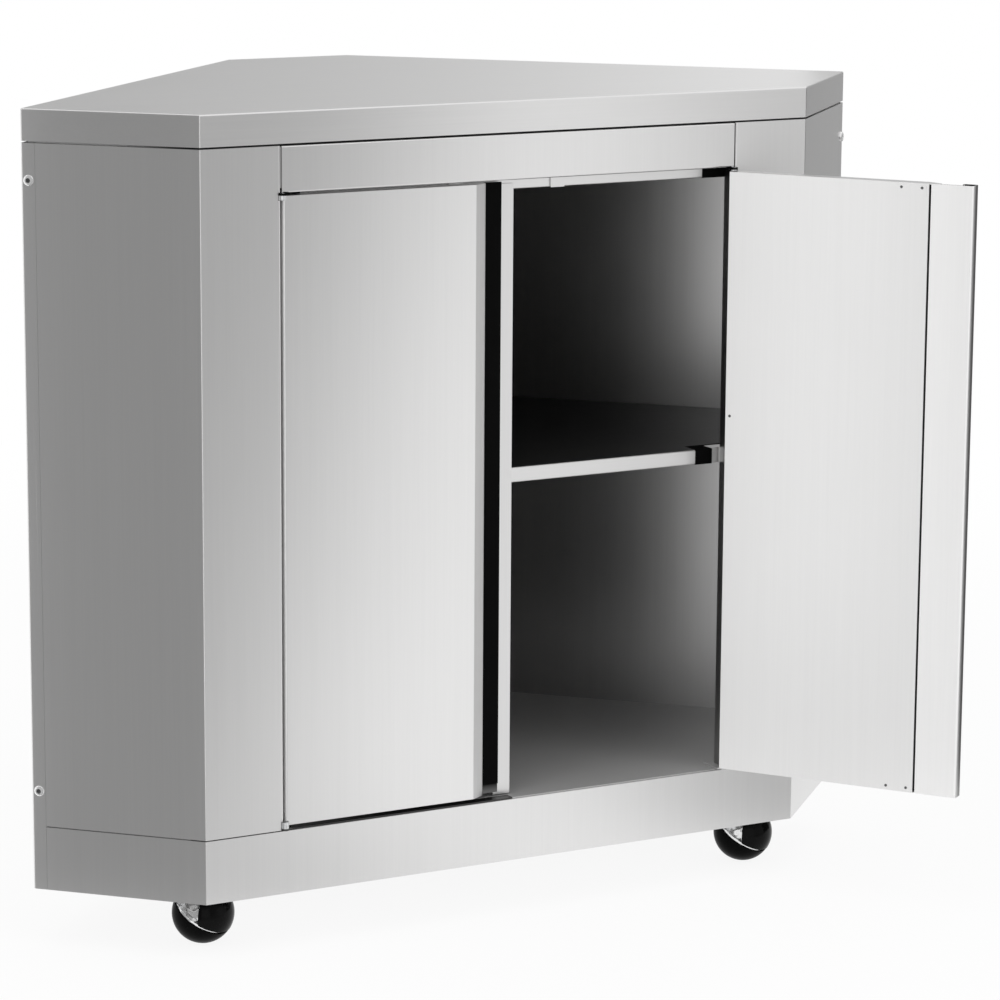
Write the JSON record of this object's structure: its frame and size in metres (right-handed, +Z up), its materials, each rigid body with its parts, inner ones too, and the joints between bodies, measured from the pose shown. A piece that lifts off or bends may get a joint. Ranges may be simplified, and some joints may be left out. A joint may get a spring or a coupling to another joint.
{
  "type": "outdoor kitchen corner cabinet",
  "caption": "Stainless corner cabinet for an outdoor kitchen with a diagonal front, hinged doors with finger pulls, an inner shelf and ball casters.",
  "frame": {"origin": "on the floor, under the middle of the cabinet as it stands with its right door open", "axes": "+X to the right along the diagonal front, +Y from the front towards the rear corner, +Z up"},
  "size_m": [1.0192, 0.8109, 0.9078],
  "materials": {
    "stainless": "brushed stainless sheet",
    "worktop_steel": "brushed stainless sheet",
    "door_steel": "fine brushed stainless sheet",
    "door_lining": "pale satin steel sheet",
    "inner_steel": "brushed stainless sheet",
    "shelf_steel": "dull stainless sheet with a brushed front lip",
    "floor_steel": "dull stainless sheet",
    "zinc_steel": "zinc plated",
    "rivet_steel": "dark rivet heads",
    "bright_steel": "polished",
    "black_plastic": "matte black",
    "hood_plastic": "gloss black",
    "tread": "satin black tread",
    "gasket_rubber": "matte black rubber"
  },
  "bodies": {
    "cabinet": {"worktop": "worktop_steel", "worktop_gasket": "gasket_rubber", "worktop_brace_front": "zinc_steel", "worktop_brace_rear": "zinc_steel", "left_side_panel": "stainless", "left_rear_wall": "stainless", "left_shelf_bracket": "stainless", "left_upper_pivot_bracket": "black_plastic", "left_lower_pivot_bracket": "floor_steel", "right_side_panel": "stainless", "right_rear_wall": "stainless", "right_shelf_bracket": "stainless", "right_upper_pivot_bracket": "black_plastic", "right_lower_pivot_bracket": "floor_steel", "back_panel": "stainless", "base_skirt": "stainless", "floor_panel": "floor_steel", "front_base_channel": "zinc_steel", "rear_base_channel": "zinc_steel", "fascia": "stainless", "top_rail": "inner_steel", "shelf": "shelf_steel", "shelf_corner_blocks": "black_plastic", "shelf_corner_tabs": "inner_steel", "door_catches": "inner_steel", "pivot_pins": "zinc_steel", "wall_screws": "bright_steel", "caster_screws": "zinc_steel", "caster_plates": "zinc_steel"},
    "left_door": {"left_door_skin": "door_steel", "left_door_inner_pan": "door_lining", "left_door_pull_profile": "door_steel", "left_door_pull_liner": "black_plastic", "left_door_pivot_leaves": "zinc_steel", "left_door_strike": "door_lining", "left_door_rivets": "rivet_steel"},
    "right_door": {"right_door_skin": "door_steel", "right_door_inner_pan": "door_lining", "right_door_pull_profile": "door_lining", "right_door_pull_liner": "black_plastic", "right_door_pivot_leaves": "zinc_steel", "right_door_strike": "door_lining", "right_door_rivets": "rivet_steel"},
    "caster_front_left_swivel": {"caster_front_left_yoke": "bright_steel", "caster_front_left_hood": "hood_plastic", "caster_front_left_axle": "bright_steel"},
    "caster_front_left_roller": {"caster_front_left_wheel": "tread"},
    "caster_front_right_swivel": {"caster_front_right_yoke": "bright_steel", "caster_front_right_hood": "hood_plastic", "caster_front_right_axle": "bright_steel"},
    "caster_front_right_roller": {"caster_front_right_wheel": "tread"},
    "caster_rear_left_swivel": {"caster_rear_left_yoke": "bright_steel", "caster_rear_left_hood": "hood_plastic", "caster_rear_left_axle": "bright_steel"},
    "caster_rear_left_roller": {"caster_rear_left_wheel": "tread"},
    "caster_rear_right_swivel": {"caster_rear_right_yoke": "bright_steel", "caster_rear_right_hood": "hood_plastic", "caster_rear_right_axle": "bright_steel"},
    "caster_rear_right_roller": {"caster_rear_right_wheel": "tread"}
  },
  "joints": [
    {"name": "left_door_hinge", "type": "hinge", "parent": "cabinet", "child": "left_door", "pos_m": [-0.2755, -0.1683, 0.479], "axis": [0, 0, 1], "range_deg": [-135, 0]},
    {"name": "right_door_hinge", "type": "hinge", "parent": "cabinet", "child": "right_door", "pos_m": [0.2755, -0.1683, 0.479], "axis": [0, 0, 1], "range_deg": [-126.5, 8.5]},
    {"name": "caster_front_left_turn", "type": "hinge", "parent": "cabinet", "child": "caster_front_left_swivel", "pos_m": [-0.344, -0.0823, 0.08], "axis": [0, 0, 1], "continuous": true},
    {"name": "caster_front_left_roll", "type": "hinge", "parent": "caster_front_left_swivel", "child": "caster_front_left_roller", "pos_m": [-0.344, -0.1023, 0.0339], "axis": [0.3353, -0.4292, 0.8387], "continuous": true},
    {"name": "caster_front_right_turn", "type": "hinge", "parent": "cabinet", "child": "caster_front_right_swivel", "pos_m": [0.344, -0.0823, 0.08], "axis": [0, 0, 1], "continuous": true},
    {"name": "caster_front_right_roll", "type": "hinge", "parent": "caster_front_right_swivel", "child": "caster_front_right_roller", "pos_m": [0.344, -0.1023, 0.0339], "axis": [0.3353, -0.4292, 0.8387], "continuous": true},
    {"name": "caster_rear_left_turn", "type": "hinge", "parent": "cabinet", "child": "caster_rear_left_swivel", "pos_m": [-0.085, 0.30266, 0.08], "axis": [0, 0, 1], "continuous": true},
    {"name": "caster_rear_left_roll", "type": "hinge", "parent": "caster_rear_left_swivel", "child": "caster_rear_left_roller", "pos_m": [-0.085, 0.28266, 0.0339], "axis": [0.3353, -0.4292, 0.8387], "continuous": true},
    {"name": "caster_rear_right_turn", "type": "hinge", "parent": "cabinet", "child": "caster_rear_right_swivel", "pos_m": [0.085, 0.30266, 0.08], "axis": [0, 0, 1], "continuous": true},
    {"name": "caster_rear_right_roll", "type": "hinge", "parent": "caster_rear_right_swivel", "child": "caster_rear_right_roller", "pos_m": [0.085, 0.28266, 0.0339], "axis": [0.3353, -0.4292, 0.8387], "continuous": true}
  ]
}
